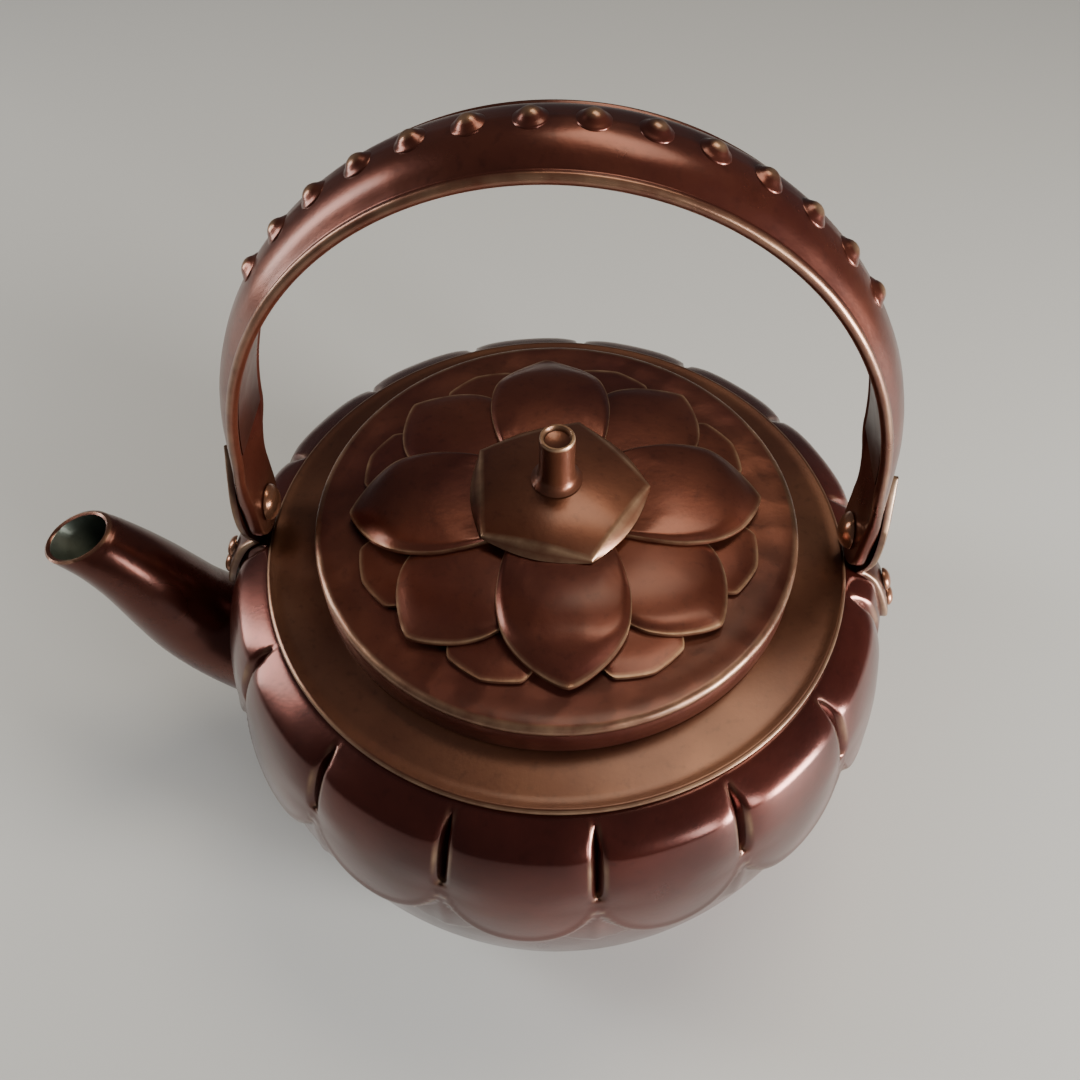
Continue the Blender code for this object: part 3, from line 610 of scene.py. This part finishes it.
def build_lid_ring():
    v, f = turned([(55.2, 100.9), (55.5, 100.5), (56.1, 100.5), (56.4, 100.7), (56.9, 101.6),
                   (56.9, 118.9), (55.2, 119.05)], 200)
    return mesh_object("kettle_lid_ring", v, f, [m_tin], None, 40.0)


place(build_lid_ring(), "lid", ["lid_locating_ring"])

PETAL_LINE = spline(list(zip(PETAL_R, PETAL_W)), 8)
PETAL_ANGLE = np.arctan2(PETAL_LINE[:, 1], PETAL_LINE[:, 0])
PETAL_ORDER = np.argsort(PETAL_ANGLE)


def main_reach(off):
    """How far a large petal reaches, at an angle off its middle."""
    return np.interp(np.abs(off), PETAL_ANGLE[PETAL_ORDER], PETAL_LINE[PETAL_ORDER, 0])


def small_reach(off):
    """The same for a small petal."""
    a = np.abs(off) / math.radians(22.5)
    return ROSETTE_R - 4.6 * a ** 1.2 - 11.0 * smooth_step((a - 0.44) / 0.42)


def build_sheet(name, node, lobes, phase, reach, lift, dome, droop, puff):
    """One sheet of petals: lift is its height, dome its edge's roll, puff its petals' crown."""
    seg = 720
    a = phase + TAU * np.arange(seg) / seg
    pitch = TAU / lobes
    off = ((a - phase + pitch / 2) % pitch) - pitch / 2
    edge = reach(off)
    qs = [0, .15, .3, .45, .58, .68, .76, .83, .88, .92, .95, .97, .985, .993, 1.0]
    tops, lows, wear = [], [], []
    for q in qs:
        r = 3.2 + (edge - 3.2) * q
        if lobes == 4:
            half = np.interp(r, PETAL_LINE[:, 0], PETAL_LINE[:, 1])
        else:
            half = np.full(seg, 11.0)
        lat = np.clip(np.abs(r * np.sin(off)) / np.maximum(half, 1.5), 0, 1)
        body = smooth_step((r - 19.0) / 8.0)
        crown = puff * (1 - lat ** 2.4) * body * (1 - 0.85 * smooth_step((r - 34.0) / 18.0))
        edge_roll = dome * (1.0 - smooth_step((q - 0.88) / 0.12) ** 1.5)
        drop = droop * smooth_step((r - 42.0) / 10.5)
        z = rosette_base(r) + lift + edge_roll + crown - drop
        tops.append(np.stack([r * np.cos(a), r * np.sin(a), z], 1))
        wear.append(np.full(seg, 0.55 * float(smooth_step((q - 0.98) / 0.015))))
        if q in (0, .45, .83, .95, 1.0):
            lows.append(np.stack([r * np.cos(a), r * np.sin(a), rosette_base(r) + lift - SHEET - drop], 1))
    wear += [np.zeros(seg)] * len(lows)
    v, f = loft(tops + lows[::-1], closed_path=True)
    obj = mesh_object(name, v, f, [m_petal], np.concatenate(wear), 55.0)
    return place(obj, "lid", [node])


build_sheet("kettle_petals_small", "petals_small", 8,
            FLOWER_TURN + math.radians(22.5), small_reach, 0.0, 0.35, 0.0, 0.2)
build_sheet("kettle_petals_lower", "petals_lower", 4,
            FLOWER_TURN + math.radians(45.0), main_reach, 1.85, 0.5, 0.5, 0.85)
build_sheet("kettle_petals_upper", "petals_upper", 4,
            FLOWER_TURN, main_reach, 4.0, 0.7, 2.4, 1.3)


def build_cap():
    seg, pitch = 300, TAU / 5.0
    inner = CAP_R * math.cos(math.pi / 5.0)
    a = FLOWER_TURN + TAU * np.arange(seg) / seg
    off = ((a - FLOWER_TURN) % pitch) - pitch / 2.0
    chord = inner / np.cos(off)
    bow = chord + 2.6 * np.cos(np.clip(off / (pitch / 2) * math.pi / 2, -1.5707, 1.5707)) ** 0.8 + 0.15

    def dome(r):
        return CAP_Z - 4.2 * (r / CAP_R) ** 1.9

    rings, wear = [], []
    one = np.ones(seg)
    for r, z, w in ((3.2 * one, 129.5 * one, 0), (0.6 * bow, 129.5 * one, 0), (bow, 129.5 * one, 0.3),
                    (0.5 * (bow + chord) + 0.2, 0.5 * (129.5 + dome(chord)), 0.1),
                    (chord + 0.12, dome(chord) - 0.2, 0.5), (chord * 0.985, dome(chord * 0.985), 0.35),
                    (chord * 0.94, dome(chord * 0.94), 0), (chord * 0.85, dome(chord * 0.85), 0),
                    (chord * 0.7, dome(chord * 0.7), 0), (chord * 0.55, dome(chord * 0.55), 0),
                    (chord * 0.4, dome(chord * 0.4), 0), (chord * 0.27, dome(chord * 0.27), 0),
                    (3.2 * one, dome(3.2 * one), 0)):
        rings.append(np.stack([r * np.cos(a), r * np.sin(a), z], 1))
        wear += [w] * seg
    v, f = loft(rings, closed_path=True)
    return mesh_object("kettle_cap", v, f, [m_cap], wear, 30.0)


place(build_cap(), "lid", ["calyx_cap"])

def build_stem():
    """The cut stalk: peened under the lid, flared on the cap, dished at its cut top."""
    seg, foot = 56, CAP_Z + 0.3
    prof = [(0.0, 116.6), (2.6, 116.8), (4.6, 117.6), (4.6, 118.6), (2.6, 118.6),
            (2.6, foot - 0.1), (6.4, foot - 0.25), (5.9, foot + 0.1), (5.2, foot + 0.6),
            (4.75, foot + 1.3), (4.5, foot + 2.4), (STEM_R, foot + 5.0),
            (STEM_R - 0.05, STEM_TOP_Z - 1.0), (STEM_R - 0.1, STEM_TOP_Z - 0.35),
            (STEM_R - 0.35, STEM_TOP_Z), (STEM_R - 0.8, STEM_TOP_Z), (STEM_R - 1.1, STEM_TOP_Z - 0.4),
            (STEM_R - 1.4, STEM_TOP_Z - 1.3), (STEM_R - 2.4, STEM_TOP_Z - 1.6), (0.0, STEM_TOP_Z - 1.7)]
    v, f = turned(prof, seg, closed=False)
    wear = []
    for i in range(len(prof)):
        wear += [0.6 if 13 <= i <= 16 else 0.0] * seg
    return mesh_object("kettle_stem", v, f, [m_cap], wear, 50.0)


place(build_stem(), "lid", ["stem_knob"])


def build_washer():
    v, f = turned([(3.0, 118.9), (8.2, 118.9), (8.5, 119.2), (8.5, 119.7), (8.2, 120.0),
                   (3.0, 120.0)], 64)
    # the washer's darker copper is painted shade under the lid
    return mesh_object("kettle_stem_washer", v, f, [m_shade_copper], None, 40.0)


place(build_washer(), "lid", ["stem_washer"])


# ---------------------------------------------------------------- floor, lights, camera
def plain(name, rgb, rough):
    mat = bpy.data.materials.new(name)
    mat.use_nodes = True
    b = mat.node_tree.nodes["Principled BSDF"]
    b.inputs["Base Color"].default_value = (*rgb, 1.0)
    b.inputs["Roughness"].default_value = rough
    return mat


FLOOR_HALF, FLOOR_Z = 3000.0, -0.2
corners = [(x * FLOOR_HALF, y * FLOOR_HALF, FLOOR_Z) for x, y in ((-1, -1), (1, -1), (1, 1), (-1, 1))]
floor = mesh_object("studio_floor", corners, [(0, 1, 2, 3)],
                    [plain("studio_floor", (0.52, 0.53, 0.54), 0.6)])


def softbox(name, where, size, power, rgb=(1.0, 0.97, 0.92), aim=(0.0, 0.0, 0.09)):
    data = bpy.data.lights.new(name, 'AREA')
    data.shape = 'RECTANGLE'
    data.size, data.size_y = size
    data.energy = power
    data.color = rgb
    obj = bpy.data.objects.new(name, data)
    obj.location = where
    obj.rotation_euler = (Vector(aim) - Vector(where)).to_track_quat('-Z', 'Y').to_euler()
    bpy.context.scene.collection.objects.link(obj)


softbox("window_right", (0.80, -0.34, 0.16), (0.26, 0.30), 24.0, (1.0, 0.96, 0.88))
softbox("window_front", (0.62, -0.62, 0.42), (0.16, 0.34), 3.5, (1.0, 0.97, 0.90))
softbox("overhead", (0.20, 0.26, 0.98), (0.50, 0.34), 4.0, (1.0, 0.86, 0.64))
softbox("low_left", (-0.80, 0.10, 0.42), (0.22, 0.62), 6.0, (1.0, 0.96, 0.88))

world = bpy.data.worlds.new("studio")
world.use_nodes = True
world.node_tree.nodes["Background"].inputs["Color"].default_value = (0.84, 0.86, 0.90, 1.0)
world.node_tree.nodes["Background"].inputs["Strength"].default_value = 0.12
bpy.context.scene.world = world

cam = bpy.data.cameras.new("camera")
cam.lens, cam.sensor_width = 35.0, 36.0
cam.clip_start = 0.01
camera = bpy.data.objects.new("camera", cam)
camera.location = (0.0070, -0.1661, 0.3346)
look = (Vector((-0.0045, 0.0043, 0.1028)) - Vector(camera.location)).to_track_quat('-Z', 'Y')
camera.rotation_mode = 'QUATERNION'
camera.rotation_quaternion = look @ Quaternion((0.0, 0.0, 1.0), math.radians(-0.275))
bpy.context.scene.collection.objects.link(camera)
bpy.context.scene.camera = camera
